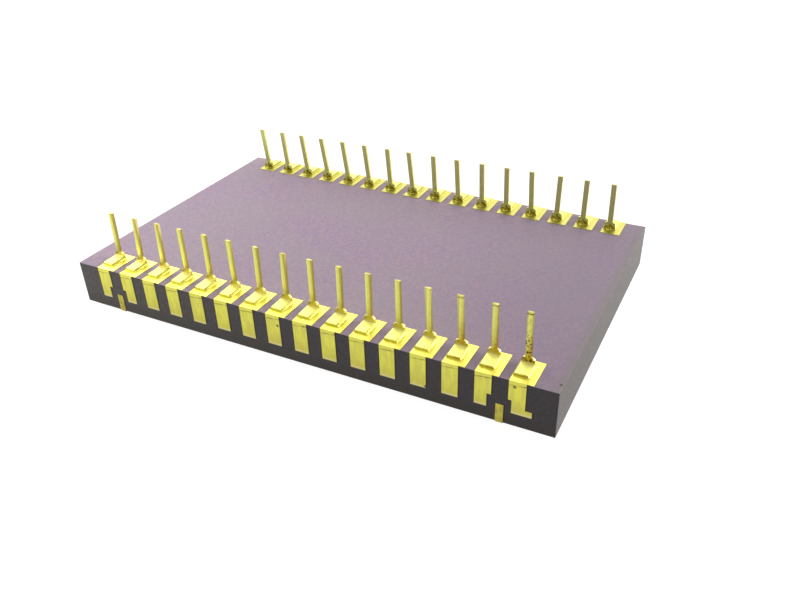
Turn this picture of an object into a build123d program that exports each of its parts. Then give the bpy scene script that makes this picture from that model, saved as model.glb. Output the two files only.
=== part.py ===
from build123d import *
from math import radians, sqrt, tan
import os

os.makedirs("parts", exist_ok=True)

# A bottom-brazed ceramic hybrid package, lying on its lid with its leads up.
# The origin is the middle of the lid's outer face and X runs along the rows. Sizes are in millimetres.

# Lead grid
LEADS_PER_ROW = 16
PITCH = 2.54
ROW_SPACING = 22.86
JIG_SHIFT = -0.06
FAR_FOOT_SHIFT = 0.40
FAR_FOOT_TURN = 0.2
FAR_TIP_SHIFT = 0.10
FAR_TIP_TURN = 0.7

# Ceramic body
SIDE_MARGIN = 2.17
END_MARGIN = 2.9
BASE_THICKNESS = 2.77
FRAME_THICKNESS = 1.16
SIDE_WALL = 3.0
END_WALL = 3.0
SHELF_WIDTH = 1.1
CAVITY_RADIUS = 0.5

# Plated prints
METAL = 0.04
PAD_LEFT = 0.67
PAD_RIGHT = 1.10
PAD_INNER_REACH = 0.62
STRIP_RIGHT = 0.60
NOTCH_DROP = 1.68
NOTCH_RIGHT_WIDTH = 0.33
NOTCH_LEFT_WIDTH = 0.27
INDEX_FOOT_LENGTH = 0.52
INDEX_FOOT_HEIGHT = 0.50
TIE_WIDTH = 0.60
TIE_HEIGHT = 1.60
TRACE_WIDTH = 0.35
FINGER_WIDTH = 0.7
FINGER_END_MARGIN = 1.35
FINGER_SETBACK = 0.1

# Stamped leads
LEAD_THICKNESS = 0.20
PIN_WIDTH = 0.46
FOOT_WIDTH = 0.96
FOOT_LENGTH = 1.52
CROOK_RADIUS = 0.15
SHOULDER_HEIGHT = 0.62
SHOULDER_CHAMFER = 0.1
NECK_HEIGHT = 0.70
LEAD_HEIGHT = 4.45

# How far each tip leans along X, in lead order, as the part has been handled
NEAR_LEANS = [
    -0.07, -0.06, -0.15, -0.14, -0.01, 0.06, 0.09, 0.04,
    0.13, 0.08, -0.08, 0.02, -0.01, 0.16, 0.18, 0.09,
]
FAR_LEANS = [
    -0.04, 0.0, -0.13, -0.24, -0.21, -0.18, -0.07, -0.2,
    -0.06, -0.09, -0.01, -0.02, -0.1, 0.11, 0.06, -0.03,
]

# Braze
BRAZE_LAYER = 0.02
BRAZE_MARGIN = 0.12
BRAZE_RISE = 0.18
TOE_MARGIN = 0.05
HEEL_RADIUS = 0.30
HEEL_HEIGHT = 0.55
HEEL_TAPER = 24
HEEL_SIDES = 12

# Seal and lid
RING_SETBACK = 0.2
RING_WIDTH = 1.6
LID_SETBACK = 0.2
PREFORM_THICKNESS = 0.05
LID_THICKNESS = 0.38
LID_RADIUS = 0.8
LID_CHAMFER = 0.05

# Substrate in the cavity
ADHESIVE_THICKNESS = 0.1
ADHESIVE_SETBACK = 0.2
SUBSTRATE_THICKNESS = 0.635
SUBSTRATE_CLEARANCE = 0.3
SUBSTRATE_RECESS = 0.015
CONDUCTOR = 0.03
TRACK_WIDTH = 0.3
TRACK_EDGE_GAP = 0.25
TRACK_PAD_LENGTH = 0.6
TRACK_PITCH = 0.6
TRACK_TO_CHIP = 0.7

# Chips, capacitors and wires
CHIP_OFFSET = 8.0
CHIP_THICKNESS = 0.4
LOGIC_CHIP_LENGTH = 5.2
LOGIC_CHIP_WIDTH = 4.0
CONVERTER_CHIP_LENGTH = 5.8
CONVERTER_CHIP_WIDTH = 4.6
ATTACH_THICKNESS = 0.03
CHIP_PAD_MARGIN = 0.25
CAPACITOR_OFFSET = 2.6
CAPACITOR_LENGTH = 2.0
CAPACITOR_WIDTH = 1.25
CAPACITOR_THICKNESS = 0.6
CAP_END_LENGTH = 0.4
CAP_END_WALL = 0.03
CAP_PAD_MARGIN = 0.25
WIRE_DIAMETER = 0.05
WIRE_FOOT = 0.12
WIRE_RISE = 0.2
WIRE_INSET = 0.15

# Levels, counted up from the lid's outer face
Z_PREFORM = LID_THICKNESS
Z_RING = Z_PREFORM + PREFORM_THICKNESS
Z_BODY = Z_RING + METAL
Z_SHELF = Z_BODY + FRAME_THICKNESS
Z_TRACE = Z_SHELF - METAL
Z_LEAD_FACE = Z_SHELF + BASE_THICKNESS
Z_PAD_TOP = Z_LEAD_FACE + METAL
Z_FOOT = Z_PAD_TOP + BRAZE_LAYER
Z_SHOULDER = Z_PAD_TOP + SHOULDER_HEIGHT
Z_NECK = Z_PAD_TOP + NECK_HEIGHT
Z_TIP = Z_LEAD_FACE + LEAD_HEIGHT
POCKET_DEPTH = ADHESIVE_THICKNESS + SUBSTRATE_THICKNESS + SUBSTRATE_RECESS
Z_POCKET = Z_SHELF + POCKET_DEPTH
Z_SUBSTRATE = Z_POCKET - ADHESIVE_THICKNESS - SUBSTRATE_THICKNESS
Z_CONDUCTOR = Z_SUBSTRATE - CONDUCTOR
Z_CHIP_BACK = Z_CONDUCTOR - ATTACH_THICKNESS
Z_CHIP_FACE = Z_CHIP_BACK - CHIP_THICKNESS

# Outlines that follow from the lead grid
BODY_LENGTH = (LEADS_PER_ROW - 1) * PITCH + 2 * END_MARGIN
BODY_WIDTH = ROW_SPACING + 2 * SIDE_MARGIN
OPENING_LENGTH = BODY_LENGTH - 2 * END_WALL
OPENING_WIDTH = BODY_WIDTH - 2 * SIDE_WALL
POCKET_LENGTH = OPENING_LENGTH - 2 * SHELF_WIDTH
POCKET_WIDTH = OPENING_WIDTH - 2 * SHELF_WIDTH
SUBSTRATE_LENGTH = POCKET_LENGTH - 2 * SUBSTRATE_CLEARANCE
SUBSTRATE_WIDTH = POCKET_WIDTH - 2 * SUBSTRATE_CLEARANCE
RING_INNER_LENGTH = OPENING_LENGTH + 2 * RING_SETBACK
RING_INNER_WIDTH = OPENING_WIDTH + 2 * RING_SETBACK
RING_LENGTH = RING_INNER_LENGTH + 2 * RING_WIDTH
RING_OUTER_WIDTH = RING_INNER_WIDTH + 2 * RING_WIDTH
LID_LENGTH = RING_LENGTH - 2 * LID_SETBACK
LID_WIDTH = RING_OUTER_WIDTH - 2 * LID_SETBACK
SUBSTRATE_TRACK_Y = SUBSTRATE_WIDTH / 2 - TRACK_EDGE_GAP

# Stations along X, from left to right
FINGER_PITCH = (POCKET_LENGTH - 2 * FINGER_END_MARGIN) / (LEADS_PER_ROW - 1)
stations = [(i - (LEADS_PER_ROW - 1) / 2) * PITCH for i in range(LEADS_PER_ROW)]
fingers = [(i - (LEADS_PER_ROW - 1) / 2) * FINGER_PITCH for i in range(LEADS_PER_ROW)]
chips = [
    (-CHIP_OFFSET, LOGIC_CHIP_LENGTH, LOGIC_CHIP_WIDTH),
    (CHIP_OFFSET, CONVERTER_CHIP_LENGTH, CONVERTER_CHIP_WIDTH),
]
TRACKS_PER_CHIP = LEADS_PER_ROW // len(chips)

# The near row is on the -Y side and the far row on the +Y side
NEAR = -1
FAR = 1


def save(shape, name):
    """Labels a finished piece and writes it."""
    shape.label = name
    export_step(shape, f"parts/{name}.step")


def face_plane(side):
    """The body's long side face, with local X along the body and local Y up."""
    return Plane.XZ.offset(-side * BODY_WIDTH / 2)


# Leads

def row_y(side, x, far_shift, far_turn):
    """The Y of a row at X. The far row, brazed on as one comb, is shifted outward and turned askew."""
    askew = far_shift + x * tan(radians(far_turn)) if side == FAR else 0
    return side * ROW_SPACING / 2 + askew


def foot_row(side, x):
    """The Y of a pin's middle at its foot."""
    return row_y(side, x, FAR_FOOT_SHIFT, FAR_FOOT_TURN)


def tip_row(side, x):
    """The Y of a pin's middle at its tip."""
    return row_y(side, x, FAR_TIP_SHIFT, FAR_TIP_TURN)


def stamped_lead(x, side, lean):
    """One lead: the bent strip seen from the side, cut to the stamped outline seen from the front."""
    row = foot_row(side, x)
    drift = tip_row(side, x) - row
    front = row + side * LEAD_THICKNESS / 2
    back = row - side * LEAD_THICKNESS / 2
    toe = row + side * FOOT_LENGTH
    foot_top = Z_FOOT + LEAD_THICKNESS
    with BuildPart() as lead:
        with BuildSketch(Plane.YZ.offset(x)) as bent_strip:
            with BuildLine():
                Polyline(
                    (toe, Z_FOOT), (back, Z_FOOT), (back, Z_NECK), (back + drift, Z_TIP),
                    (front + drift, Z_TIP), (front, Z_NECK), (front, foot_top), (toe, foot_top), close=True,
                )
            make_face()
            heel = bent_strip.vertices().sort_by_distance((back, Z_FOOT, 0))[0]
            fillet(heel, CROOK_RADIUS + LEAD_THICKNESS)
            crook = bent_strip.vertices().sort_by_distance((front, foot_top, 0))[0]
            fillet(crook, CROOK_RADIUS)
        extrude(amount=FOOT_WIDTH, both=True)
        with BuildSketch(Plane.XZ.offset(-row)):
            with BuildLine():
                for hand in (-1, 1):
                    edge = x + hand * FOOT_WIDTH / 2
                    ear = (edge - hand * SHOULDER_CHAMFER, Z_SHOULDER)
                    neck = x + hand * PIN_WIDTH / 2
                    Polyline((x, Z_FOOT), (edge, Z_FOOT), (edge, Z_SHOULDER - SHOULDER_CHAMFER), ear)
                    Polyline(ear, (neck, Z_NECK), (neck + lean, Z_TIP), (x + lean, Z_TIP))
            make_face()
        extrude(amount=FOOT_LENGTH + LEAD_THICKNESS, both=True, mode=Mode.INTERSECT)
    return lead.part


lead_xs = [x + JIG_SHIFT for x in stations]
near_leads = [
    stamped_lead(x, NEAR, NEAR_LEANS[i % len(NEAR_LEANS)])
    for i, x in enumerate(reversed(lead_xs))
]
far_leads = [
    stamped_lead(x, FAR, FAR_LEANS[i % len(FAR_LEANS)])
    for i, x in enumerate(lead_xs)
]
for number, lead_solid in enumerate(near_leads + far_leads, start=1):
    save(lead_solid, f"lead_{number:02d}")


# Pads, folded down the long side faces as strips

def pad_row(side, notched, indexed):
    """One row of pads. A strip named in notched keeps clear of a tie mark on its right or left."""
    notch_top = Z_LEAD_FACE - NOTCH_DROP
    with BuildPart() as pads:
        with BuildSketch(Plane.XY.offset(Z_LEAD_FACE)):
            with Locations([(x - PAD_LEFT, side * (ROW_SPACING / 2 - PAD_INNER_REACH)) for x in stations]):
                Rectangle(PAD_LEFT + PAD_RIGHT, SIDE_MARGIN + PAD_INNER_REACH,
                          align=(Align.MIN, Align.MIN if side > 0 else Align.MAX))
        extrude(amount=METAL)
        with BuildSketch(face_plane(side)):
            with Locations([(x - PAD_LEFT, Z_TRACE) for x in stations]):
                Rectangle(PAD_LEFT + STRIP_RIGHT, Z_PAD_TOP - Z_TRACE, align=(Align.MIN, Align.MIN))
            for number, hand in notched.items():
                x = stations[number]
                if hand == "right":
                    with Locations((x + STRIP_RIGHT, Z_TRACE)):
                        Rectangle(NOTCH_RIGHT_WIDTH, notch_top - Z_TRACE,
                                  align=(Align.MAX, Align.MIN), mode=Mode.SUBTRACT)
                else:
                    with Locations((x - PAD_LEFT, Z_TRACE)):
                        Rectangle(NOTCH_LEFT_WIDTH, notch_top - Z_TRACE,
                                  align=(Align.MIN, Align.MIN), mode=Mode.SUBTRACT)
            if indexed:
                with Locations((stations[-1] + STRIP_RIGHT, Z_TRACE)):
                    Rectangle(INDEX_FOOT_LENGTH, INDEX_FOOT_HEIGHT, align=(Align.MIN, Align.MIN))
        extrude(amount=-side * METAL)
    return pads.part


last = LEADS_PER_ROW - 1
save(pad_row(NEAR, {0: "right", 1: "left", last - 1: "right", last: "left"}, indexed=True), "near_pads")
save(pad_row(FAR, {}, indexed=False), "far_pads")


# Braze: a skirt behind the heel, a thin bed with sloping sides under the foot and a wedge that touches the bend

def braze_row(side):
    """One row of brazed joints, all like the one that is cut to the shape of a lead at X = 0."""
    middle = foot_row(side, 0)
    back = middle - side * LEAD_THICKNESS / 2
    wedge = (2 - sqrt(2)) * (CROOK_RADIUS + LEAD_THICKNESS)
    with BuildPart() as joint:
        with BuildSketch(Plane.XY.offset(Z_PAD_TOP)):
            with Locations((0, back)):
                RegularPolygon(HEEL_RADIUS, HEEL_SIDES)
        extrude(amount=HEEL_HEIGHT, taper=HEEL_TAPER)
        split(bisect_by=Plane.XZ.offset(-back), keep=Keep.TOP if side > 0 else Keep.BOTTOM)
        with BuildSketch(Plane.XY.offset(Z_PAD_TOP)):
            with Locations((0, back)):
                Rectangle(FOOT_WIDTH, FOOT_LENGTH + LEAD_THICKNESS / 2 + TOE_MARGIN,
                          align=(Align.CENTER, Align.MIN if side > 0 else Align.MAX))
        extrude(amount=BRAZE_LAYER)
        with BuildSketch(Plane.XZ.offset(-back)):
            with BuildLine():
                Polyline(
                    (-FOOT_WIDTH / 2 - BRAZE_MARGIN, Z_PAD_TOP), (-FOOT_WIDTH / 2, Z_PAD_TOP + BRAZE_RISE),
                    (FOOT_WIDTH / 2, Z_PAD_TOP + BRAZE_RISE), (FOOT_WIDTH / 2 + BRAZE_MARGIN, Z_PAD_TOP), close=True,
                )
            make_face()
        extrude(amount=-side * (FOOT_LENGTH + LEAD_THICKNESS / 2))
        with BuildSketch(Plane.YZ):
            with BuildLine():
                Polyline(
                    (back, Z_PAD_TOP), (back, Z_FOOT + wedge),
                    (back + side * wedge, Z_FOOT), (back + side * wedge, Z_PAD_TOP), close=True,
                )
            make_face()
        extrude(amount=FOOT_WIDTH / 2, both=True)
        add(stamped_lead(0, side, 0), mode=Mode.SUBTRACT)
    with BuildPart() as braze:
        with Locations([(x, foot_row(side, x) - middle, 0) for x in lead_xs]):
            add(joint.part)
    return braze.part


save(braze_row(NEAR), "near_braze")
save(braze_row(FAR), "far_braze")


# Tie marks, which run down the near side face and across to the seal ring

with BuildPart() as tie_marks:
    for left_station in (stations[0], stations[-2]):
        x = left_station + PITCH / 2
        with BuildSketch(face_plane(NEAR)):
            with Locations((x, Z_RING)):
                Rectangle(TIE_WIDTH, TIE_HEIGHT + METAL, align=(Align.CENTER, Align.MIN))
        extrude(amount=METAL)
        with BuildSketch(Plane.XY.offset(Z_RING)):
            with Locations((x, -BODY_WIDTH / 2)):
                Rectangle(TIE_WIDTH, (BODY_WIDTH - RING_OUTER_WIDTH) / 2, align=(Align.CENTER, Align.MIN))
        extrude(amount=METAL)
save(tie_marks.part, "tie_marks")


# Buried traces, from a bond finger on the shelf out to the foot of each side strip

def trace_row(side):
    """One row of traces, each with its wider bond finger inside the opening."""
    edge = side * BODY_WIDTH / 2
    wall = side * OPENING_WIDTH / 2
    half = TRACE_WIDTH / 2
    with BuildPart() as traces:
        with BuildSketch(Plane.XY.offset(Z_TRACE)):
            for x, finger in zip(stations, fingers):
                with BuildLine():
                    Polyline(
                        (finger - half, wall), (x - half, edge),
                        (x + half, edge), (finger + half, wall), close=True,
                    )
                make_face()
            with Locations([(finger, wall) for finger in fingers]):
                Rectangle(FINGER_WIDTH, SHELF_WIDTH - FINGER_SETBACK,
                          align=(Align.CENTER, Align.MAX if side > 0 else Align.MIN))
        extrude(amount=METAL)
    return traces.part


near_traces = trace_row(NEAR)
far_traces = trace_row(FAR)
save(near_traces, "near_traces")
save(far_traces, "far_traces")


# Ceramic body, with the lid-side opening, the bond shelf and the pocket for the substrate

with BuildPart() as ceramic_body:
    with BuildSketch(Plane.XY.offset(Z_BODY)):
        Rectangle(BODY_LENGTH, BODY_WIDTH)
    extrude(amount=FRAME_THICKNESS + BASE_THICKNESS)
    with BuildSketch(Plane.XY.offset(Z_BODY)):
        RectangleRounded(OPENING_LENGTH, OPENING_WIDTH, CAVITY_RADIUS)
    extrude(amount=FRAME_THICKNESS, mode=Mode.SUBTRACT)
    with BuildSketch(Plane.XY.offset(Z_SHELF)):
        RectangleRounded(POCKET_LENGTH, POCKET_WIDTH, CAVITY_RADIUS)
    extrude(amount=POCKET_DEPTH, mode=Mode.SUBTRACT)
    add(near_traces, mode=Mode.SUBTRACT)
    add(far_traces, mode=Mode.SUBTRACT)
save(ceramic_body.part, "ceramic_body")


# Seal ring, solder preform and lid

def flat_ring(z, length, width, thickness):
    """A rounded rectangular ring whose hole is the seal's inner outline."""
    with BuildPart() as ring:
        with BuildSketch(Plane.XY.offset(z)):
            RectangleRounded(length, width, LID_RADIUS)
            RectangleRounded(RING_INNER_LENGTH, RING_INNER_WIDTH, CAVITY_RADIUS + RING_SETBACK,
                             mode=Mode.SUBTRACT)
        extrude(amount=thickness)
    return ring.part


save(flat_ring(Z_RING, RING_LENGTH, RING_OUTER_WIDTH, METAL), "seal_ring")
save(flat_ring(Z_PREFORM, LID_LENGTH, LID_WIDTH, PREFORM_THICKNESS), "solder_preform")

with BuildPart() as lid:
    with BuildSketch():
        RectangleRounded(LID_LENGTH, LID_WIDTH, LID_RADIUS)
    extrude(amount=LID_THICKNESS)
    chamfer(lid.faces().sort_by(Axis.Z)[0].edges(), LID_CHAMFER)
save(lid.part, "lid")


# Substrate and its adhesive film

with BuildPart() as adhesive_film:
    with BuildSketch(Plane.XY.offset(Z_POCKET - ADHESIVE_THICKNESS)):
        Rectangle(SUBSTRATE_LENGTH - 2 * ADHESIVE_SETBACK, SUBSTRATE_WIDTH - 2 * ADHESIVE_SETBACK)
    extrude(amount=ADHESIVE_THICKNESS)
save(adhesive_film.part, "adhesive_film")

with BuildPart() as substrate:
    with BuildSketch(Plane.XY.offset(Z_SUBSTRATE)):
        Rectangle(SUBSTRATE_LENGTH, SUBSTRATE_WIDTH)
    extrude(amount=SUBSTRATE_THICKNESS)
save(substrate.part, "substrate")


# Conductors on the substrate: tracks from its long edges to the chips, chip pads and capacitor pads

def track_ends(number):
    """A track's X at the substrate's edge, its X at the chip, and the chip's width."""
    chip_x, _, chip_width = chips[number // TRACKS_PER_CHIP]
    place = number % TRACKS_PER_CHIP - (TRACKS_PER_CHIP - 1) / 2
    return fingers[number], chip_x + place * TRACK_PITCH, chip_width


tracks = [track_ends(number) for number in range(TRACKS_PER_CHIP * len(chips))]
CAP_END_X = CAPACITOR_LENGTH / 2 - CAP_END_LENGTH / 2
cap_ends = [(hand * CAP_END_X, side * CAPACITOR_OFFSET) for hand in (-1, 1) for side in (NEAR, FAR)]
half = TRACK_WIDTH / 2

with BuildPart() as conductors:
    with BuildSketch(Plane.XY.offset(Z_CONDUCTOR)):
        for outer_x, inner_x, chip_width in tracks:
            for side in (NEAR, FAR):
                outer_y = side * SUBSTRATE_TRACK_Y
                bend_y = outer_y - side * TRACK_PAD_LENGTH
                inner_y = side * (chip_width / 2 + TRACK_TO_CHIP)
                straight_y = inner_y + side * TRACK_PAD_LENGTH
                with BuildLine():
                    Polyline(
                        (outer_x - half, outer_y), (outer_x - half, bend_y),
                        (inner_x - half, straight_y), (inner_x - half, inner_y),
                        (inner_x + half, inner_y), (inner_x + half, straight_y),
                        (outer_x + half, bend_y), (outer_x + half, outer_y), close=True,
                    )
                make_face()
        for chip_x, length, width in chips:
            with Locations((chip_x, 0)):
                Rectangle(length + 2 * CHIP_PAD_MARGIN, width + 2 * CHIP_PAD_MARGIN)
        with Locations(cap_ends):
            Rectangle(CAP_END_LENGTH + 2 * CAP_PAD_MARGIN, CAPACITOR_WIDTH + 2 * CAP_PAD_MARGIN)
    extrude(amount=CONDUCTOR)
save(conductors.part, "conductors")


# Chips and their attach

def chip_block(x, length, width):
    """One chip, its face towards the lid."""
    with BuildPart() as chip:
        with BuildSketch(Plane.XY.offset(Z_CHIP_FACE)):
            with Locations((x, 0)):
                Rectangle(length, width)
        extrude(amount=CHIP_THICKNESS)
    return chip.part


save(chip_block(*chips[0]), "logic_chip")
save(chip_block(*chips[1]), "converter_chip")

with BuildPart() as chip_attach:
    with BuildSketch(Plane.XY.offset(Z_CHIP_BACK)):
        for chip_x, length, width in chips:
            with Locations((chip_x, 0)):
                Rectangle(length, width)
    extrude(amount=ATTACH_THICKNESS)
save(chip_attach.part, "chip_attach")


# Chip capacitors: a ceramic block with a metal cup on each end, standing on their pads

with BuildPart() as capacitor_blocks:
    with BuildSketch(Plane.XY.offset(Z_CONDUCTOR - CAPACITOR_THICKNESS + CAP_END_WALL)):
        with Locations((0, -CAPACITOR_OFFSET), (0, CAPACITOR_OFFSET)):
            Rectangle(CAPACITOR_LENGTH - 2 * CAP_END_WALL, CAPACITOR_WIDTH - 2 * CAP_END_WALL)
    extrude(amount=CAPACITOR_THICKNESS - 2 * CAP_END_WALL)
save(capacitor_blocks.part, "capacitor_blocks")

with BuildPart() as capacitor_ends:
    with BuildSketch(Plane.XY.offset(Z_CONDUCTOR - CAPACITOR_THICKNESS)):
        with Locations(cap_ends):
            Rectangle(CAP_END_LENGTH, CAPACITOR_WIDTH)
    extrude(amount=CAPACITOR_THICKNESS)
    add(capacitor_blocks.part, mode=Mode.SUBTRACT)
save(capacitor_ends.part, "capacitor_ends")


# Bond wires, drawn with a square section as wide as the wire

def bond_wires(runs):
    """Wires along Y, looped towards the lid. A run has the wires' X stations, their start and their end."""
    with BuildPart() as wires:
        for xs, (start, start_z), (end, end_z) in runs:
            way = 1 if end > start else -1
            top = ((start + end) / 2, min(start_z, end_z) - WIRE_RISE)
            line = [
                (start - way * WIRE_FOOT, start_z), (start, start_z),
                top, (end, end_z), (end + way * WIRE_FOOT, end_z),
            ]
            with BuildSketch(Plane.YZ.offset(xs[0])):
                with BuildLine():
                    Polyline(*line, *[(y, z - WIRE_DIAMETER) for y, z in reversed(line)], close=True)
                make_face()
            first = extrude(amount=WIRE_DIAMETER / 2, both=True, mode=Mode.PRIVATE)
            with Locations([(x - xs[0], 0, 0) for x in xs]):
                add(first)
    return wires.part


def package_runs(side):
    """From the bond fingers to the substrate tracks beside them."""
    finger_y = side * (POCKET_WIDTH / 2 + FINGER_SETBACK + WIRE_FOOT + WIRE_INSET)
    track_y = side * (SUBSTRATE_TRACK_Y - WIRE_FOOT - WIRE_INSET)
    return [([outer_x for outer_x, _, _ in tracks], (finger_y, Z_TRACE), (track_y, Z_CONDUCTOR))]


def chip_runs(side):
    """From the tracks' inner ends to the chips."""
    runs = []
    for number, (_, _, chip_width) in enumerate(chips):
        own_tracks = tracks[number * TRACKS_PER_CHIP:(number + 1) * TRACKS_PER_CHIP]
        xs = [inner_x for _, inner_x, _ in own_tracks]
        track_y = side * (chip_width / 2 + TRACK_TO_CHIP + WIRE_FOOT + WIRE_INSET)
        chip_y = side * (chip_width / 2 - WIRE_FOOT - WIRE_INSET)
        runs.append((xs, (track_y, Z_CONDUCTOR), (chip_y, Z_CHIP_FACE)))
    return runs


save(bond_wires(package_runs(NEAR)), "near_package_wires")
save(bond_wires(package_runs(FAR)), "far_package_wires")
save(bond_wires(chip_runs(NEAR)), "near_chip_wires")
save(bond_wires(chip_runs(FAR)), "far_chip_wires")
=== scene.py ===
# %% [markdown]
# A ceramic hybrid package lies on its lid with its two rows of stamped leads in the air. The CAD model
# already has every piece at its real size, so this lesson is about finish: fired ceramic, gold plating,
# braze, light and camera. The packed model is loaded first, because everything that follows is placed by
# it, in metres.

# %% Load the packed package
import math

import bpy
from mathutils import Matrix, Vector


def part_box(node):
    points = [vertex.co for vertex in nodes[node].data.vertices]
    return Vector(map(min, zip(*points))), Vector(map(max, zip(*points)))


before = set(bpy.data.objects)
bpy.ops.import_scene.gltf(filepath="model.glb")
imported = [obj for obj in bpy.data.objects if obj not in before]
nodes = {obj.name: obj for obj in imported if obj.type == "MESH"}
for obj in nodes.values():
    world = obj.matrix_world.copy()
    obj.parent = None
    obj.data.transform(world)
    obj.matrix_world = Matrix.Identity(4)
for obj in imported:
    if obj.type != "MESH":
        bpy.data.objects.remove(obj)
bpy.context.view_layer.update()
MM = 0.001
print("pieces in the package:", len(nodes))

# %% [markdown]
# The camera stands where the photographer's did, as near as the picture tells. Its place and turn came
# from the package itself: with the pads taken to be 2.54 mm apart, the usual pitch, their corners in the
# picture fix one camera. A lens and three axes are clearer here than angles.

# %% Set up the camera
LENS = 35.11
SENSOR_WIDTH = 36
NEAREST_SEEN = 0.1 * MM
CAMERA_PLACE = Vector((31.458, -54.723, 37.600)) * MM
CAMERA_RIGHT = Vector((0.89365, 0.44815, -0.02335))
CAMERA_UP = Vector((-0.21932, 0.48155, 0.84853))
CAMERA_BACK = CAMERA_RIGHT.cross(CAMERA_UP)

camera = bpy.data.objects.new("camera", bpy.data.cameras.new("camera"))
camera.data.sensor_width = SENSOR_WIDTH
camera.data.lens = LENS
camera.data.clip_start = NEAREST_SEEN
turn = Matrix((CAMERA_RIGHT, CAMERA_UP, CAMERA_BACK)).transposed()
camera.matrix_world = Matrix.Translation(CAMERA_PLACE) @ turn.to_4x4()
bpy.context.scene.collection.objects.link(camera)
bpy.context.scene.camera = camera
print("camera to package in mm:", round(CAMERA_PLACE.length / MM, 1))

# %% [markdown]
# Colours are easiest to choose as a picture shows them, from 0 to 255, but light adds up on another
# scale. So each colour goes through the curve that pictures use before a material gets it. The curve has
# a straight start for values of 10 and less, which no finish here needs.

# %% Make colours


def tone(*shown):
    """A colour from the red, green and blue that a picture shows, each above 10."""
    return (*(((value / 255 + 0.055) / 1.055) ** 2.4 for value in shown), 1.0)


print("mid grey in a picture is", round(tone(128, 128, 128)[0], 3), "in light")

# %% [markdown]
# Materials are built from nodes. A small class keeps their code short, because it joins nodes by plain
# calls. A share is a number from 0 to 1 that says how much of one colour lies over another. Shares are
# multiplied where all of them must hold, and the larger one counts where one is enough. A level is told
# where a share starts to change and where it stops, and goes softly between the two.

# %% Join nodes by plain calls
UNDER_SOCKET = 6
OVER_SOCKET = 7
MIXED_SOCKET = 2


class Recipe:
    """The nodes of a material."""

    def __init__(self, tree):
        self.tree = tree

    def give(self, value, socket):
        """Links a node's output to a socket, or sets a plain number or colour there."""
        if isinstance(value, bpy.types.NodeSocket):
            self.tree.links.new(value, socket)
        else:
            socket.default_value = value

    def maths(self, operation, *values):
        """A sum, a product or the like, of numbers and nodes."""
        node = self.tree.nodes.new("ShaderNodeMath")
        node.operation = operation
        for value, socket in zip(values, node.inputs):
            self.give(value, socket)
        return node.outputs[0]

    def vector_maths(self, operation, first):
        """A node that works on places or directions."""
        node = self.tree.nodes.new("ShaderNodeVectorMath")
        node.operation = operation
        self.give(first, node.inputs[0])
        return node

    def both(self, share, *others):
        """Shares multiplied, so that all of them must hold."""
        for other in others:
            share = self.maths("MULTIPLY", share, other)
        return share

    def either(self, first, second):
        """The larger of two shares."""
        return self.maths("MAXIMUM", first, second)

    def level(self, value, low, high, start=0.0, end=1.0):
        """Moves low..high to start..end, softly, and holds it there."""
        node = self.tree.nodes.new("ShaderNodeMapRange")
        node.interpolation_type = "SMOOTHSTEP"
        self.give(value, node.inputs["Value"])
        for name, number in zip(("From Min", "From Max", "To Min", "To Max"), (low, high, start, end)):
            node.inputs[name].default_value = number
        return node.outputs[0]

    def mixed(self, share, under, over):
        """A share of one colour over another."""
        node = self.tree.nodes.new("ShaderNodeMix")
        node.data_type = "RGBA"
        self.give(share, node.inputs["Factor"])
        self.give(under, node.inputs[UNDER_SOCKET])
        self.give(over, node.inputs[OVER_SOCKET])
        return node.outputs[MIXED_SOCKET]


print("calls that join nodes:", [name for name in vars(Recipe) if name[0] != "_"])

# %% [markdown]
# Each finish is one principled material, whose shader knows how metal and ceramic return light. It reads
# places in millimetres from the piece's own coordinates, so that a finish stays on its piece. It starts
# with plain numbers for metal, roughness and gloss, and its patterns go in at the end of its recipe.

# %% Start a surface


class Surface(Recipe):
    """A principled material for pieces of the package."""

    def __init__(self, name, metal=0.0, rough=0.5, gloss=0.5):
        self.material = bpy.data.materials.new(name)
        self.material.use_nodes = True
        super().__init__(self.material.node_tree)
        self.shader = self.tree.nodes["Principled BSDF"]
        self.shader.inputs["Metallic"].default_value = metal
        self.shader.inputs["Roughness"].default_value = rough
        self.shader.inputs["Specular IOR Level"].default_value = gloss
        self.coordinates = self.tree.nodes.new("ShaderNodeTexCoord")
        scale = self.vector_maths("SCALE", self.coordinates.outputs["Object"])
        scale.inputs["Scale"].default_value = 1 / MM
        self.place = scale.outputs["Vector"]

    def colour(self, value):
        self.give(value, self.shader.inputs["Base Color"])

    def roughness(self, value):
        self.give(value, self.shader.inputs["Roughness"])

    def relief(self, height, depth):
        """Bump, whose depth is in millimetres."""
        node = self.tree.nodes.new("ShaderNodeBump")
        node.inputs["Strength"].default_value = 1.0
        node.inputs["Distance"].default_value = depth * MM
        self.give(height, node.inputs["Height"])
        self.give(node.outputs["Normal"], self.shader.inputs["Normal"])

    def cover(self, *names):
        """Puts the finish on CAD pieces."""
        for name in names:
            slots = nodes[name].data.materials
            slots.clear()
            slots.append(self.material)
        print(self.material.name, "on", len(names), "pieces")


print("calls for a surface:", [name for name in vars(Surface) if name[0] != "_"])

# %% [markdown]
# A finish is made of a few patterns: soft blotches, streaks, round specks, a spot at a known place, and
# shares that follow a place or the way a surface faces. A picture of metal or ceramic would repeat and
# blur up close, and noise at the real size of the grain doesn't. Places are the same in the model and in
# this script, so a stain can be put at a real spot on the part.

# %% Add the patterns
PITCH = 2.54
ROW_MIDDLE = -0.06
SPECK_CORE = 0.5
SPOT_CORE = 0.4


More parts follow.
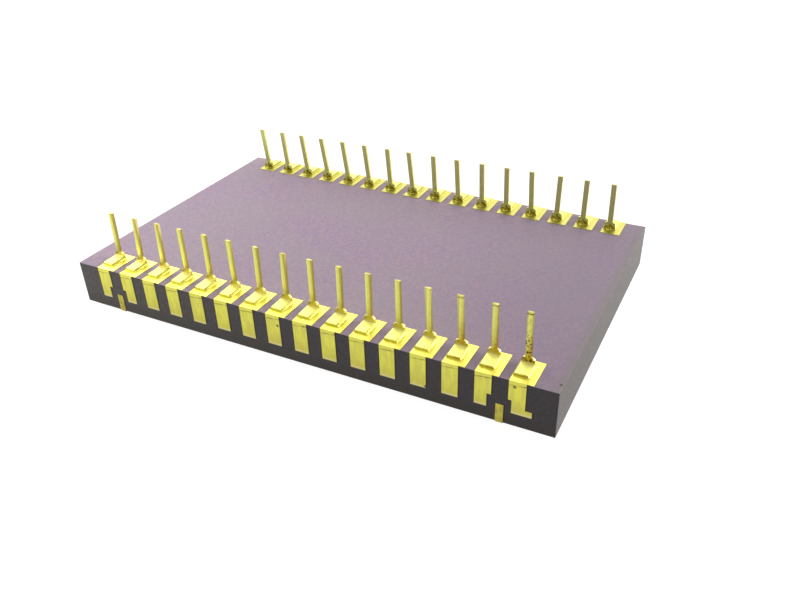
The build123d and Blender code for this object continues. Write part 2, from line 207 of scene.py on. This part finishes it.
class Finish(Surface):
    """A material whose patterns are measured in millimetres."""

    def stretched(self, along):
        """The place, drawn out along an axis, so that a pattern becomes streaks."""
        node = self.vector_maths("MULTIPLY", self.place)
        node.inputs[1].default_value = along
        return node.outputs["Vector"]

    def cloud(self, size, seed, detail=3.0, place=None, roughness=0.5):
        """Noise with blotches about size across."""
        node = self.tree.nodes.new("ShaderNodeTexNoise")
        node.noise_dimensions = "4D"
        self.give(self.place if place is None else place, node.inputs["Vector"])
        node.inputs["W"].default_value = seed
        node.inputs["Scale"].default_value = 1 / size
        node.inputs["Detail"].default_value = detail
        node.inputs["Roughness"].default_value = roughness
        return node.outputs["Fac"]

    def specks(self, spacing, radius, seed):
        """Small round marks, 1 inside and 0 outside, at random places about spacing apart."""
        node = self.tree.nodes.new("ShaderNodeTexVoronoi")
        node.voronoi_dimensions = "4D"
        self.give(self.place, node.inputs["Vector"])
        node.inputs["W"].default_value = seed
        node.inputs["Scale"].default_value = 1 / spacing
        return self.level(node.outputs["Distance"], radius / spacing, SPECK_CORE * radius / spacing)

    def spot(self, x, y, z, radius):
        """1 near a point and 0 beyond the radius."""
        node = self.vector_maths("DISTANCE", self.place)
        node.inputs[1].default_value = (x, y, z)
        return self.level(node.outputs["Value"], radius, SPOT_CORE * radius)

    def part(self, vector, letter):
        """One of the three numbers of a place or direction."""
        node = self.tree.nodes.new("ShaderNodeSeparateXYZ")
        self.give(vector, node.inputs[0])
        return node.outputs[letter]

    def axis(self, letter):
        """How far along an axis of the package a place is."""
        return self.part(self.place, letter)

    def facing(self, letter):
        """How far the surface faces along an axis of the package, from -1 to 1."""
        return self.part(self.coordinates.outputs["Normal"], letter)

    def far_row(self, share=1.0):
        """A share on the far row's side of the package, and 0 on the near row's."""
        return self.level(self.axis("Y"), -1.0, 1.0, 0.0, share)

    def from_middle(self):
        """How far a place is to the right of the middle of its lead on the near row."""
        pitches = self.maths("DIVIDE", self.maths("SUBTRACT", self.axis("X"), ROW_MIDDLE), PITCH)
        return self.maths("MULTIPLY", self.maths("SUBTRACT", self.maths("FRACT", pitches), 0.5), PITCH)


print("leads are", PITCH, "mm apart, and their rows are", -ROW_MIDDLE, "mm left of the body's middle")

# %% [markdown]
# The body is laminated alumina, coloured dark by metal oxides and left as it came from the kiln. Its
# broad faces have a mauve cast, with a mottle of cooler and rosier grains. Painted shade darkens them a
# little to the right, and the last millimetre there is greyer. Two sizes of noise make the mottle and its
# slow drift.

# %% Fire the broad faces
LEAD_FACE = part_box("ceramic_body")[1].z / MM
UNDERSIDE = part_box("ceramic_body")[0].z / MM
COOL_MAUVE = tone(166, 145, 178)
ROSY_MAUVE = tone(190, 156, 174)
WARM_MAUVE = tone(176, 164, 168)
RIGHTWARD_SHADE_MAUVE = tone(142, 124, 146)
GREY_MARGIN = tone(150, 144, 136)

fired = Finish("fired_alumina", rough=0.6, gloss=0.4)
mottle = fired.level(fired.cloud(0.30, seed=3.0, detail=3.0, roughness=0.7), 0.40, 0.60)
drift = fired.level(fired.cloud(7.0, seed=7.0, detail=2.0), 0.30, 0.70, 0.1, 0.5)
along = fired.axis("X")
mauve = fired.mixed(mottle, COOL_MAUVE, ROSY_MAUVE)
mauve = fired.mixed(drift, mauve, WARM_MAUVE)
# Painted shade: the broad faces darken towards the right end.
mauve = fired.mixed(fired.level(along, 2.0, 20.0, 0.0, 0.4), mauve, RIGHTWARD_SHADE_MAUVE)
mauve = fired.mixed(fired.level(along, 21.0, 21.9, 0.0, 0.6), mauve, GREY_MARGIN)
print("ceramic from", round(UNDERSIDE, 2), "to", round(LEAD_FACE, 2), "mm above the table")

# %% [markdown]
# The sides were cut before firing and are plainer and greyer, and their darker tone is partly painted
# shade. The long near side is a little purple at its left, and low down it gets a darker, warmer band of
# painted shade. A share from height keeps these colours off the two broad faces.

# %% Colour the cut sides
SHADED_CUT_GREY = tone(111, 106, 103)
DARKER_GREY = tone(97, 94, 89)
PURPLISH_GREY = tone(78, 70, 84)
LOW_SHADE_GREY = tone(84, 82, 66)

height = fired.axis("Z")
below_top = fired.level(height, LEAD_FACE - 0.01, LEAD_FACE - 0.06)
above_base = fired.level(height, UNDERSIDE + 0.01, UNDERSIDE + 0.06)
near_face = fired.level(fired.facing("Y"), -0.5, -0.9)
purplish = fired.both(near_face, fired.level(along, -16.0, 2.0, 0.0, 0.4))
low_shade = fired.both(near_face, fired.level(height, UNDERSIDE + 1.5, UNDERSIDE + 0.1, 0.0, 0.6))
# The cut grey is partly painted shade: it keeps the sides darker than the broad faces.
grey = fired.mixed(mottle, SHADED_CUT_GREY, DARKER_GREY)
grey = fired.mixed(purplish, grey, PURPLISH_GREY)
# Painted shade: a darker, warmer band low on the near side.
grey = fired.mixed(low_shade, grey, LOW_SHADE_GREY)
clay = fired.mixed(fired.both(below_top, above_base), mauve, grey)
print("sides are coloured over", round(LEAD_FACE - UNDERSIDE, 2), "mm of height")

# %% [markdown]
# Fired ceramic is dull, with a grain finer than a tenth of a millimetre and here and there a black speck
# of iron. One such speck sits near the right front corner. The same fine noise drives colour, roughness
# and bump, so that each grain has all three.

# %% Give the ceramic its grain
IRON_SPECK = (21.76, -12.64, LEAD_FACE)
SPECK_RADIUS = 0.13
GRAIN_SHADE = tone(104, 94, 102)
IRON_BLACK = tone(52, 42, 48)

grain = fired.cloud(0.09, seed=11.0, detail=4.0, roughness=0.6)
iron = fired.either(fired.specks(6.5, 0.10, seed=2.0), fired.spot(*IRON_SPECK, SPECK_RADIUS))
grainy = fired.mixed(fired.level(grain, 0.3, 0.7, 0.0, 0.3), clay, GRAIN_SHADE)
fired.colour(fired.mixed(iron, grainy, IRON_BLACK))
fired.roughness(fired.level(grain, 0.3, 0.7, 0.52, 0.7))
fired.relief(grain, 0.012)
fired.cover("ceramic_body")

# %% [markdown]
# The pads are tungsten paste, printed and fired with the ceramic and then plated with nickel and gold.
# Such a print is satin rather than bright. The far row carries painted shade that makes it duller than the
# near one. The strips down the side face show the strokes of the paint and carry painted shade low down,
# where they mirror the table in the body's shade.

# %% Mix the gold of the pads
GOLD = tone(246, 239, 112)
DEEPER_GOLD = tone(240, 230, 112)
FAR_PAD_SHADE = tone(178, 172, 88)
STROKE_GOLD = tone(250, 250, 104)
STROKE_SHADE = tone(238, 230, 110)
LOW_STRIP_SHADE = tone(218, 204, 92)
FAR_PAD_SHARE = 0.8


def top_gold(printed, blotch):
    """The satin gold of the faces that look up, with painted shade on the far row."""
    near = printed.mixed(printed.level(blotch, 0.3, 0.7, 0.0, 0.5), GOLD, DEEPER_GOLD)
    # Painted shade: the far row of pads is duller.
    return printed.mixed(printed.far_row(FAR_PAD_SHARE), near, FAR_PAD_SHADE)


def strip_gold(printed, brush, drop):
    """The gold of the strips, with strokes of the brush and painted shade low down."""
    brushed = printed.mixed(printed.level(brush, 0.35, 0.65), STROKE_GOLD, STROKE_SHADE)
    # Painted shade: the strips darken low down, where they mirror the shaded table.
    return printed.mixed(printed.level(drop, 1.0, 3.4, 0.0, 0.7), brushed, LOW_STRIP_SHADE)


print("gold in light:", [round(primary, 2) for primary in GOLD[:3]])

# %% [markdown]
# The paste is painted round the corner onto the long side face in a second stroke, so a narrow fold lies
# under the edge and ends in a low ridge. The fold gets a painted highlight and the ridge a painted shadow
# line. The ridge slants a little on each strip.
# Three strips also have a dark mark at an X and a height of its own. A share from height makes the ridge
# and a spot makes a mark, so neither needs a mesh.

# %% Find the fold and the dark marks
FOLD_DROP = 0.27
FOLD_SLOPE = 0.09
STRIP_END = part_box("near_pads")[0].z / MM
STRIP_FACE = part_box("near_pads")[0].y / MM
MARKS = [(-0.86, 3.53), (18.81, 3.94), (12.02, 1.75)]
MARK_RADIUS = 0.18
MARK_SHARE = 0.8


def fold_ridge(printed, drop):
    """The ridge where the second stroke ends."""
    under = printed.level(drop, FOLD_DROP + 0.13, FOLD_DROP + 0.03)
    return printed.both(under, printed.level(drop, FOLD_DROP - 0.08, FOLD_DROP + 0.03))


def dark_marks(printed, ridge, blotch):
    """Darker patches along the ridge, and the marks on the strips."""
    darkened = printed.both(ridge, printed.level(blotch, 0.60, 0.68, 0.0, 0.6))
    for x, z in MARKS:
        mark = printed.spot(x, STRIP_FACE, z, MARK_RADIUS)
        darkened = printed.either(darkened, printed.both(mark, MARK_SHARE))
    return darkened


print("strips end", round(STRIP_END, 2), "mm above the table, with", len(MARKS), "marks on them")

# %% [markdown]
# The layers go on in the order in which they lie: even gold, the painted highlight on the fold, the
# painted shadow on its ridge, the paler rim at a strip's lower end, brown soil, and dark patches and marks.
# The tie marks are the same print without the rim and with soil, so one function makes both finishes. The
# seal ring and the traces share the finish of the pads.

# %% Plate the pads
FOLD_HIGHLIGHT = tone(248, 240, 112)
RIDGE_SHADOW = tone(150, 138, 56)
PALE_RIM = tone(246, 232, 176)
BROWN_SOIL = tone(150, 124, 52)
DARK_OLIVE = tone(96, 86, 36)
THINNEST_SOIL = 0.3
WEAVE_DEPTH = 0.25


def printed_gold(name, rim_share, soil):
    """Satin gold with shares of a pale rim at the lower end and of brown soil."""
    printed = Finish(name, metal=1.0, rough=0.36)
    weave = printed.cloud(0.16, seed=5.0, detail=2.0)
    blotch = printed.cloud(0.45, seed=9.0, detail=3.0)
    brush = printed.cloud(0.30, seed=10.0, detail=2.0, place=printed.stretched((1.0, 1.0, 0.25)))
    drop = printed.maths("SUBTRACT", LEAD_FACE, printed.axis("Z"))
    on_side = printed.level(drop, -0.01, 0.01)
    drop = printed.maths("ADD", drop, printed.maths("MULTIPLY", printed.from_middle(), FOLD_SLOPE))
    ridge = fold_ridge(printed, drop)
    fold = printed.both(on_side, printed.level(drop, FOLD_DROP + 0.06, FOLD_DROP - 0.06))
    brushed_fold = printed.both(fold, printed.level(brush, 0.3, 0.6, 0.3, 0.8))
    shadowed_ridge = printed.both(ridge, printed.level(blotch, 0.36, 0.60, 0.25, 0.75))
    low_end = printed.level(printed.axis("Z"), STRIP_END + 0.28, STRIP_END + 0.14, 0.0, rim_share)
    soiled = printed.level(blotch, 0.35, 0.60, THINNEST_SOIL * soil, soil)
    painted = printed.mixed(on_side, top_gold(printed, blotch), strip_gold(printed, brush, drop))
    # Painted highlight on the fold, then a painted shadow line on the ridge.
    painted = printed.mixed(brushed_fold, painted, FOLD_HIGHLIGHT)
    painted = printed.mixed(shadowed_ridge, painted, RIDGE_SHADOW)
    painted = printed.mixed(printed.both(on_side, low_end), painted, PALE_RIM)
    painted = printed.mixed(soiled, painted, BROWN_SOIL)
    printed.colour(printed.mixed(dark_marks(printed, ridge, blotch), painted, DARK_OLIVE))
    printed.roughness(printed.level(weave, 0.3, 0.7, 0.30, 0.44))
    printed.relief(printed.maths("ADD", printed.maths("MULTIPLY", weave, WEAVE_DEPTH), ridge), 0.02)
    return printed


pad_gold = printed_gold("pad_gold", rim_share=0.6, soil=0.0)
pad_gold.cover("near_pads", "far_pads", "seal_ring", "near_traces", "far_traces")
tie_gold = printed_gold("tie_gold", rim_share=0.0, soil=0.45)
tie_gold.cover("tie_marks")

# %% [markdown]
# The leads are stamped from thin alloy sheet, bent, brazed on and gold-plated with the rest. They are the
# brightest metal on the part, with fine rolling streaks along the pin. Each mark on a lead lies at some
# height above the ceramic, or to one side of the pin, so one class finds those places once for all of
# them. A foot's top is above its pad by the thickness of the sheet and of a thin bed of braze.

# %% Find the places on a lead
LEAD_COUNT = 32
LEADS = [f"lead_{number:02d}" for number in range(1, LEAD_COUNT + 1)]
SHEET_AND_BED = 0.22
SHOULDER_RISE = 0.66
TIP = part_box("lead_01")[1].z / MM
FOOT_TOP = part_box("near_braze")[0].z / MM + SHEET_AND_BED
SHOULDER = LEAD_FACE + SHOULDER_RISE


class LeadFinish(Finish):
    """Bright gold that knows the places on a lead."""

    def __init__(self, name):
        super().__init__(name, metal=1.0, rough=0.34)
        self.streaks = self.cloud(0.05, seed=4.0, detail=2.0, place=self.stretched((1.0, 1.0, 0.12)))
        self.stain = self.cloud(0.30, seed=8.0, detail=3.0)
        self.height = self.axis("Z")
        self.side = self.from_middle()
        self.near_row = self.level(self.axis("Y"), 1.0, -1.0)
        self.upright = self.level(self.maths("ABSOLUTE", self.facing("Z")), 0.5, 0.2)
        self.sideways = self.maths("ABSOLUTE", self.facing("X"))

    def climb(self, low, high, start=0.0, end=1.0):
        """A share that goes from start to end between two heights."""
        return self.level(self.height, low, high, start, end)


print("foot, shoulder and tip in mm:", [round(place, 2) for place in (FOOT_TOP, SHOULDER, TIP)])

# %% [markdown]
# A foot looks straight up and carries a painted highlight that makes it paler than its pin. Painted shade
# browns the corner of the bend, dulls the toe and the stamped sides, and darkens the seam beside a near
# foot, where light hardly reaches. Each is a thin layer over clean gold.

# %% Colour the foot and the bend
CLEAN_GOLD = tone(246, 240, 128)
CLOUDED_GOLD = tone(228, 215, 96)
FOOT_HIGHLIGHT = tone(255, 255, 158)
BEND_SHADE_BROWN = tone(150, 118, 40)
TOE_AND_SIDE_SHADE = tone(190, 184, 72)
SEAM_SHADE = tone(140, 130, 54)
BEND_SHARE = 0.6


def foot_and_bend(lead):
    """Clean gold with a painted highlight on the foot and painted shade in the bend, on the toe, on the
    sides and in the seam.
    """
    on_foot = lead.climb(FOOT_TOP + 0.10, FOOT_TOP + 0.02, 0.0, 0.9)
    gold = lead.mixed(lead.level(lead.stain, 0.35, 0.7, 0.0, 0.4), CLEAN_GOLD, CLOUDED_GOLD)
    # Painted highlight: the foot top is paler than its pin.
    gold = lead.mixed(on_foot, gold, FOOT_HIGHLIGHT)
    corner = lead.both(lead.climb(FOOT_TOP, FOOT_TOP + 0.03), lead.climb(SHOULDER + 0.9, SHOULDER - 0.1))
    near_bend = lead.either(lead.upright, lead.climb(FOOT_TOP + 0.20, FOOT_TOP + 0.12))
    # Painted shade in the corner of the bend.
    gold = lead.mixed(lead.both(corner, near_bend, BEND_SHARE), gold, BEND_SHADE_BROWN)
    toe_line = lead.both(lead.climb(FOOT_TOP - 0.08, FOOT_TOP - 0.14, 0.0, 0.8), lead.upright)
    stamped_side = lead.level(lead.sideways, 0.4, 0.9, 0.0, 0.5)
    # Painted shade along the toe and on the stamped sides.
    gold = lead.mixed(lead.either(toe_line, stamped_side), gold, TOE_AND_SIDE_SHADE)
    foot_side = lead.level(lead.sideways, 0.25, 0.6, 0.0, 0.85)
    seam = lead.both(foot_side, lead.near_row, lead.climb(FOOT_TOP + 0.10, FOOT_TOP + 0.02))
    return lead.mixed(seam, gold, SEAM_SHADE)


print("the foot is pale up to", round(FOOT_TOP + 0.10, 2), "mm above the table")

# %% [markdown]
# A near pin gets a painted highlight down its left side and painted shade along its edges, and the ears
# at its shoulder get painted highlights. The front of a far pin gets painted shade, which makes it duller
# and a little greener. Shares from the place beside the pin's middle and from the way a face looks keep
# each to its own part.

# %% Colour the pin and the ears
PIN_HIGHLIGHT = tone(252, 255, 152)
PIN_EDGE_SHADE = tone(147, 127, 44)
FAR_PIN_SHADE = tone(204, 212, 146)
EAR_HIGHLIGHT = tone(252, 240, 168)
FAR_PIN_SHARE = 0.85


def pin_and_ears(lead, gold):
    """A painted highlight down one side, painted shade on the edges and painted highlights on the ears of
    the near leads, and painted shade on the front of the far pins.
    """
    on_pin = lead.both(lead.near_row, lead.climb(SHOULDER, SHOULDER + 0.1))
    lit = lead.both(on_pin, lead.level(lead.side, 0.04, -0.10, 0.0, 0.8))
    # Painted highlight down the left side of a near pin.
    gold = lead.mixed(lit, gold, PIN_HIGHLIGHT)
    right_edge = lead.level(lead.side, 0.08, 0.20, 0.0, 0.6)
    left_edge = lead.level(lead.side, -0.18, -0.23, 0.0, 0.4)
    # Painted shade along the edges of a near pin.
    gold = lead.mixed(lead.both(on_pin, lead.either(right_edge, left_edge)), gold, PIN_EDGE_SHADE)
    front = lead.level(lead.facing("Y"), -0.4, -0.9)
    # Painted shade on the front of a far pin.
    gold = lead.mixed(lead.both(lead.far_row(), front, FAR_PIN_SHARE), gold, FAR_PIN_SHADE)
    aside = lead.level(lead.maths("ABSOLUTE", lead.side), 0.30, 0.38)
    ear = lead.both(aside, lead.climb(SHOULDER - 0.24, SHOULDER - 0.12), lead.near_row)
    # Painted highlight on the ears at the shoulder.
    return lead.mixed(ear, gold, EAR_HIGHLIGHT)


print("pins are coloured from", round(SHOULDER, 2), "mm up")

# %% [markdown]
# Handling and sockets have left marks at one end of the near row. Three pins are rubbed brown above the
# bend, the outer one is pitted in patches and the others hardly, and a dark ring runs round each just
# under the tip. Random specks alone look too even, so a cloud thins them out into patches.

# %% Wear the end pins
RUBBED_BROWN = tone(164, 112, 36)
PIT_BROWN = tone(76, 50, 22)
RING_LOW = TIP - 0.20
RING_HIGH = TIP - 0.08


def worn_pin(lead, gold, pitting, ring):
    """Brown rubbing, with shares of pits and of a ring under the tip."""
    rubbed = lead.both(lead.climb(SHOULDER + 2.2, SHOULDER + 0.4, 0.1, 0.55), lead.upright)
    on_right = lead.level(lead.side, -0.12, 0.12, 0.5, 1.0)
    uneven = lead.level(lead.stain, 0.3, 0.6, 0.5, 1.0)
    gold = lead.mixed(lead.both(rubbed, on_right, uneven), gold, RUBBED_BROWN)
    off_the_foot = lead.climb(FOOT_TOP + 0.05, FOOT_TOP + 0.2)
    low_down = lead.both(lead.climb(TIP - 1.0, SHOULDER + 0.6, 0.25, 1.0), off_the_foot)
    patches = lead.level(lead.cloud(0.35, seed=35.0), 0.36, 0.50)
    pits = lead.both(lead.specks(0.15, 0.10, seed=33.0), patches, low_down)
    under_tip = lead.both(lead.climb(RING_LOW, RING_LOW + 0.05), lead.climb(RING_HIGH, RING_HIGH - 0.04))
    dark = lead.either(lead.both(pits, pitting), lead.both(under_tip, ring))
    return lead.mixed(dark, gold, PIT_BROWN)


print("the ring lies from", round(RING_LOW, 2), "to", round(RING_HIGH, 2), "mm above the table")

# %% [markdown]
# The cut ends are rubbed dull on every lead. The rolling streaks give the gold its roughness and a very
# shallow bump, and the feet are rougher than the pins.

# %% Plate the leads
CUT_END_GOLD = tone(176, 160, 96)


def plated_lead(name, pitting, ring):
    """The whole finish of a lead. Pitting and the ring are shares."""
    lead = LeadFinish(name)
    gold = pin_and_ears(lead, foot_and_bend(lead))
    cut_end = lead.both(lead.climb(TIP - 0.06, TIP - 0.01), lead.level(lead.stain, 0.30, 0.55, 0.3, 0.8))
    gold = lead.mixed(cut_end, gold, CUT_END_GOLD)
    if pitting or ring:
        gold = worn_pin(lead, gold, pitting, ring)
    lead.colour(gold)
    dull_foot = lead.climb(FOOT_TOP + 0.1, FOOT_TOP, 0.0, 0.22)
    lead.roughness(lead.maths("ADD", lead.level(lead.streaks, 0.3, 0.7, 0.36, 0.46), dull_foot))
    lead.relief(lead.streaks, 0.003)
    return lead


plated_lead("bright_gold", pitting=0.0, ring=0.0).cover(*LEADS[3:])
plated_lead("pitted_gold", pitting=1.0, ring=1.0).cover(LEADS[0])
plated_lead("worn_gold", pitting=0.1, ring=0.6).cover(LEADS[1], LEADS[2])

# %% [markdown]
# The braze is silver and copper under the same gold. Around the foot it is thin and as bright as the pad,
# apart from its right slope and the seam under the foot, which the picture shows duller and which get
# painted shade. The way that the slope faces and the height of the seam pick them out, so one material
# does for the whole joint.

# %% Melt the braze round the feet
SEAM_START = LEAD_FACE + 0.10
BRAZE_GOLD = tone(244, 236, 116)
BRAZE_SHADE = tone(226, 214, 96)
RIGHT_SLOPE_SHADE = tone(150, 142, 60)
BRAZE_SEAM_SHADE = tone(140, 130, 52)

frozen = Finish("frozen_braze", metal=1.0, rough=0.38)
ripple = frozen.cloud(0.12, seed=6.0, detail=3.0)
rippled = frozen.level(ripple, 0.35, 0.65)
right_slope = frozen.level(frozen.facing("X"), 0.2, 0.6, 0.0, 0.45)
seam = frozen.level(frozen.axis("Z"), SEAM_START, LEAD_FACE + 0.17, 0.0, 0.9)
thin = frozen.mixed(rippled, BRAZE_GOLD, BRAZE_SHADE)
# Painted shade on the right slope of the braze.
thin = frozen.mixed(right_slope, thin, RIGHT_SLOPE_SHADE)
# Painted shade in the seam under the foot.
thin = frozen.mixed(seam, thin, BRAZE_SEAM_SHADE)
print("the seam starts", round(SEAM_START, 2), "mm above the table")

# %% [markdown]
# Up behind the heel the braze freezes with a rippled skin, and the gold over it is brown where the light
# can't reach. The far row's feet stand a little further out, so the heel's line moves out with them.

# %% Freeze it behind the heels
HEEL_LINE = 11.48
HEEL_FULL = 11.34
FAR_HEEL_SHIFT = 0.4
HEEL_ROUGHNESS = 0.3
HEEL_BROWN = tone(158, 144, 50)
HEEL_SHADE = tone(126, 112, 36)

out_from_middle = frozen.maths("ABSOLUTE", frozen.axis("Y"))
outward = frozen.maths("SUBTRACT", out_from_middle, frozen.far_row(FAR_HEEL_SHIFT))
up_the_heel = frozen.level(frozen.axis("Z"), LEAD_FACE + 0.05, LEAD_FACE + 0.12, 0.35, 1.0)
heel = frozen.both(frozen.level(outward, HEEL_LINE, HEEL_FULL), up_the_heel)
thick = frozen.mixed(rippled, HEEL_BROWN, HEEL_SHADE)
frozen.colour(frozen.mixed(heel, thin, thick))
rippled_roughness = frozen.level(ripple, 0.3, 0.7, 0.28, 0.5)
frozen.roughness(frozen.maths("ADD", rippled_roughness, frozen.both(heel, HEEL_ROUGHNESS)))
frozen.relief(ripple, 0.008)
frozen.cover("near_braze", "far_braze")

# %% [markdown]
# The lid is rolled alloy sheet with a gold flash, soldered down on its ring with a gold and tin frame. It
# lies on the table in the picture, but other views see it, so it gets its rolling marks and a few rubs.

# %% Close the lid
RUBBED_LID = tone(222, 206, 92)
PALE_SOLDER = tone(224, 208, 128)
GREY_SOLDER = tone(196, 182, 118)

rolled = Finish("rolled_gold", metal=1.0, rough=0.34)
rolling = rolled.cloud(0.08, seed=12.0, detail=2.0, place=rolled.stretched((0.03, 1.0, 1.0)))
rub = rolled.cloud(2.4, seed=14.0, detail=4.0)
rolled.colour(rolled.mixed(rolled.level(rub, 0.4, 0.7, 0.0, 0.5), GOLD, RUBBED_LID))
rolled.roughness(rolled.level(rolling, 0.3, 0.7, 0.26, 0.42))
rolled.relief(rolling, 0.002)
rolled.cover("lid")

solder = Finish("gold_tin_solder", metal=1.0, rough=0.3)
bead = solder.cloud(0.25, seed=15.0)
solder.colour(solder.mixed(bead, PALE_SOLDER, GREY_SOLDER))
solder.relief(bead, 0.01)
solder.cover("solder_preform")

# %% [markdown]
# Nobody sees the inside until the lid comes off, but each piece there still gets its own finish: white
# substrate, printed conductors, two chips in grey epoxy, tan capacitors with tin ends, and gold wire. A
# row of the table gives a finish's name, metal, roughness, grain in millimetres, two colours and pieces.

# %% Finish the inside
wires = ["near_package_wires", "far_package_wires", "near_chip_wires", "far_chip_wires"]
inside = [
    ("white_alumina", 0.0, 0.6, 0.12, (232, 230, 222), (214, 211, 202), ["substrate"]),
    ("silver_epoxy", 0.0, 0.55, 0.20, (150, 150, 150), (120, 120, 121), ["adhesive_film", "chip_attach"]),
    ("printed_conductor", 1.0, 0.4, 0.15, (236, 206, 120), (210, 178, 96), ["conductors"]),
    ("polished_silicon", 0.0, 0.15, 0.30, (62, 66, 78), (46, 50, 62), ["logic_chip", "converter_chip"]),
    ("tan_capacitor", 0.0, 0.5, 0.10, (172, 142, 104), (150, 120, 84), ["capacitor_blocks"]),
    ("plated_tin", 1.0, 0.35, 0.10, (206, 206, 202), (180, 180, 178), ["capacitor_ends"]),
    ("drawn_gold_wire", 1.0, 0.2, 0.05, (244, 214, 120), (226, 190, 92), wires),
]
for seed, (name, metal, rough, size, light_tone, dark_tone, pieces) in enumerate(inside, start=20):
    hidden = Finish(name, metal=metal, rough=rough)
    pattern = hidden.cloud(size, seed=float(seed))
    hidden.colour(hidden.mixed(pattern, tone(*light_tone), tone(*dark_tone)))
    hidden.roughness(hidden.level(pattern, 0.3, 0.7, rough - 0.06, rough + 0.06))
    hidden.relief(pattern, 0.004)
    hidden.cover(*pieces)

# %% [markdown]
# Real edges are never perfectly sharp, and a thin line of light on them is what makes metal look like
# metal. A bevel modifier rounds the stamped edges of the leads by a few hundredths of a millimetre, and
# those of the braze by less, without touching the CAD mesh.

# %% Round the edges
SHARPEST_KEPT = math.radians(35)


def ease_edges(names, width, segments):
    """Rounds the edges of CAD pieces, with the width in millimetres."""
    for name in names:
        bevel = nodes[name].modifiers.new("eased_edges", "BEVEL")
        bevel.width = width * MM
        bevel.segments = segments
        bevel.limit_method = "ANGLE"
        bevel.angle_limit = SHARPEST_KEPT
        bevel.use_clamp_overlap = True
        bevel.harden_normals = True
    print("eased", len(names), "pieces by", width, "mm")


ease_edges(LEADS, width=0.055, segments=4)
ease_edges(["near_braze", "far_braze"], width=0.02, segments=2)

# %% [markdown]
# The background is white because it glows for the camera, and not because more light falls on it. The
# Light Path node tells the camera's rays and those of reflections or glass from the rays that light
# things, so each kind gets its own strength.

# %% Make a glow that lights nothing


def glow_strength(tree, lighting, seen, mirrored):
    """A strength for the rays that light things, the camera's rays and the rays of reflections or glass."""
    recipe = Recipe(tree)
    rays = tree.nodes.new("ShaderNodeLightPath").outputs
    kinds = (("Is Camera Ray", seen), ("Is Glossy Ray", mirrored), ("Is Transmission Ray", mirrored))
    strength = lighting
    for kind, value in kinds:
        strength = recipe.maths("MULTIPLY_ADD", rays[kind], value - lighting, strength)
    return strength


GLOW_SEEN = 0.95
GLOW_MIRRORED = 0.55
print("table glow for the camera:", GLOW_SEEN, "and in reflections:", GLOW_MIRRORED)

# %% [markdown]
# The package lies on a white table, a real surface that takes its shadow, and the glow lifts it to white.
# The glow is weaker in reflections, because the plated side strips mirror the table where the body shades
# it.

# %% Lay the table
FLOOR_SIZE = 6.0
PAPER = 0.25

floor_mesh = bpy.data.meshes.new("table")
corners = [(x * FLOOR_SIZE, y * FLOOR_SIZE, 0) for x, y in ((-1, -1), (1, -1), (1, 1), (-1, 1))]
floor_mesh.from_pydata(corners, [], [(0, 1, 2, 3)])
floor = bpy.data.objects.new("table", floor_mesh)
bpy.context.scene.collection.objects.link(floor)

white = bpy.data.materials.new("white_table")
white.use_nodes = True
tree = white.node_tree
tree.nodes.clear()
glow = tree.nodes.new("ShaderNodeEmission")
tree.links.new(glow_strength(tree, 0.0, GLOW_SEEN, GLOW_MIRRORED), glow.inputs["Strength"])
paper = tree.nodes.new("ShaderNodeBsdfDiffuse")
paper.inputs["Color"].default_value = (PAPER, PAPER, PAPER, 1)
paper_and_glow = tree.nodes.new("ShaderNodeAddShader")
tree.links.new(paper.outputs[0], paper_and_glow.inputs[0])
tree.links.new(glow.outputs[0], paper_and_glow.inputs[1])
surface = tree.nodes.new("ShaderNodeOutputMaterial")
tree.links.new(paper_and_glow.outputs[0], surface.inputs["Surface"])
floor_mesh.materials.append(white)
print("the table is", 2 * FLOOR_SIZE, "m across")

# %% [markdown]
# Five soft lamps do the lighting. The key stands behind the package on the right, which leaves the long
# near side in its own shade. A wide panel on the left behind the package fills the gold pads with
# reflection. Two small ones stand close by the left end, a panel that lifts the top there and a card that
# lifts that end of the near side, and a card at the far right corner lifts the end face. Distances and
# sizes are in metres, and power is in watts.

# %% Light the studio


def softbox(name, towards, distance, width, height, power):
    """A soft lamp that stands in a direction from the package and shines back at it."""
    light = bpy.data.lights.new(name, "AREA")
    light.shape = "RECTANGLE"
    light.size = width
    light.size_y = height
    light.energy = power
    lamp = bpy.data.objects.new(name, light)
    direction = Vector(towards).normalized()
    lamp.location = direction * distance
    lamp.rotation_mode = "QUATERNION"
    lamp.rotation_quaternion = direction.to_track_quat("Z", "Y")
    bpy.context.scene.collection.objects.link(lamp)
    print(name, "at", [round(value / MM) for value in lamp.location], "mm")


softbox("key", (0.90, 0.35, 0.15), distance=0.40, width=0.25, height=0.25, power=1.9)
softbox("back_panel", (-0.45, 0.70, 0.50), distance=0.40, width=0.90, height=0.50, power=1.6)
softbox("left_panel", (-0.70, 0.15, 0.60), distance=0.12, width=0.08, height=0.08, power=0.047)
softbox("left_card", (-0.80, -0.45, 0.20), distance=0.12, width=0.06, height=0.06, power=0.07)
softbox("right_card", (0.75, 0.62, 0.08), distance=0.10, width=0.04, height=0.03, power=0.04)

# %% [markdown]
# The sky is a weak, even light. It gets the same kind of glow as the table, so that the picture's
# background is white and metal that faces away from the table still mirrors something pale.

# %% Raise the sky
SKY_LIGHT = 0.12
SKY_SEEN = 1.0
SKY_MIRRORED = 0.7

sky = bpy.data.worlds.new("studio")
bpy.context.scene.world = sky
sky.use_nodes = True
backdrop = sky.node_tree.nodes["Background"]
backdrop.inputs["Color"].default_value = (1.0, 1.0, 1.0, 1)
sky_strength = glow_strength(sky.node_tree, SKY_LIGHT, SKY_SEEN, SKY_MIRRORED)
sky.node_tree.links.new(sky_strength, backdrop.inputs["Strength"])
print("the sky lights with", SKY_LIGHT, "and is mirrored with", SKY_MIRRORED)

# %% [markdown]
# The picture is shown as it is rendered, with no film look.

# %% Close the lesson
bpy.context.scene.view_settings.view_transform = "Standard"
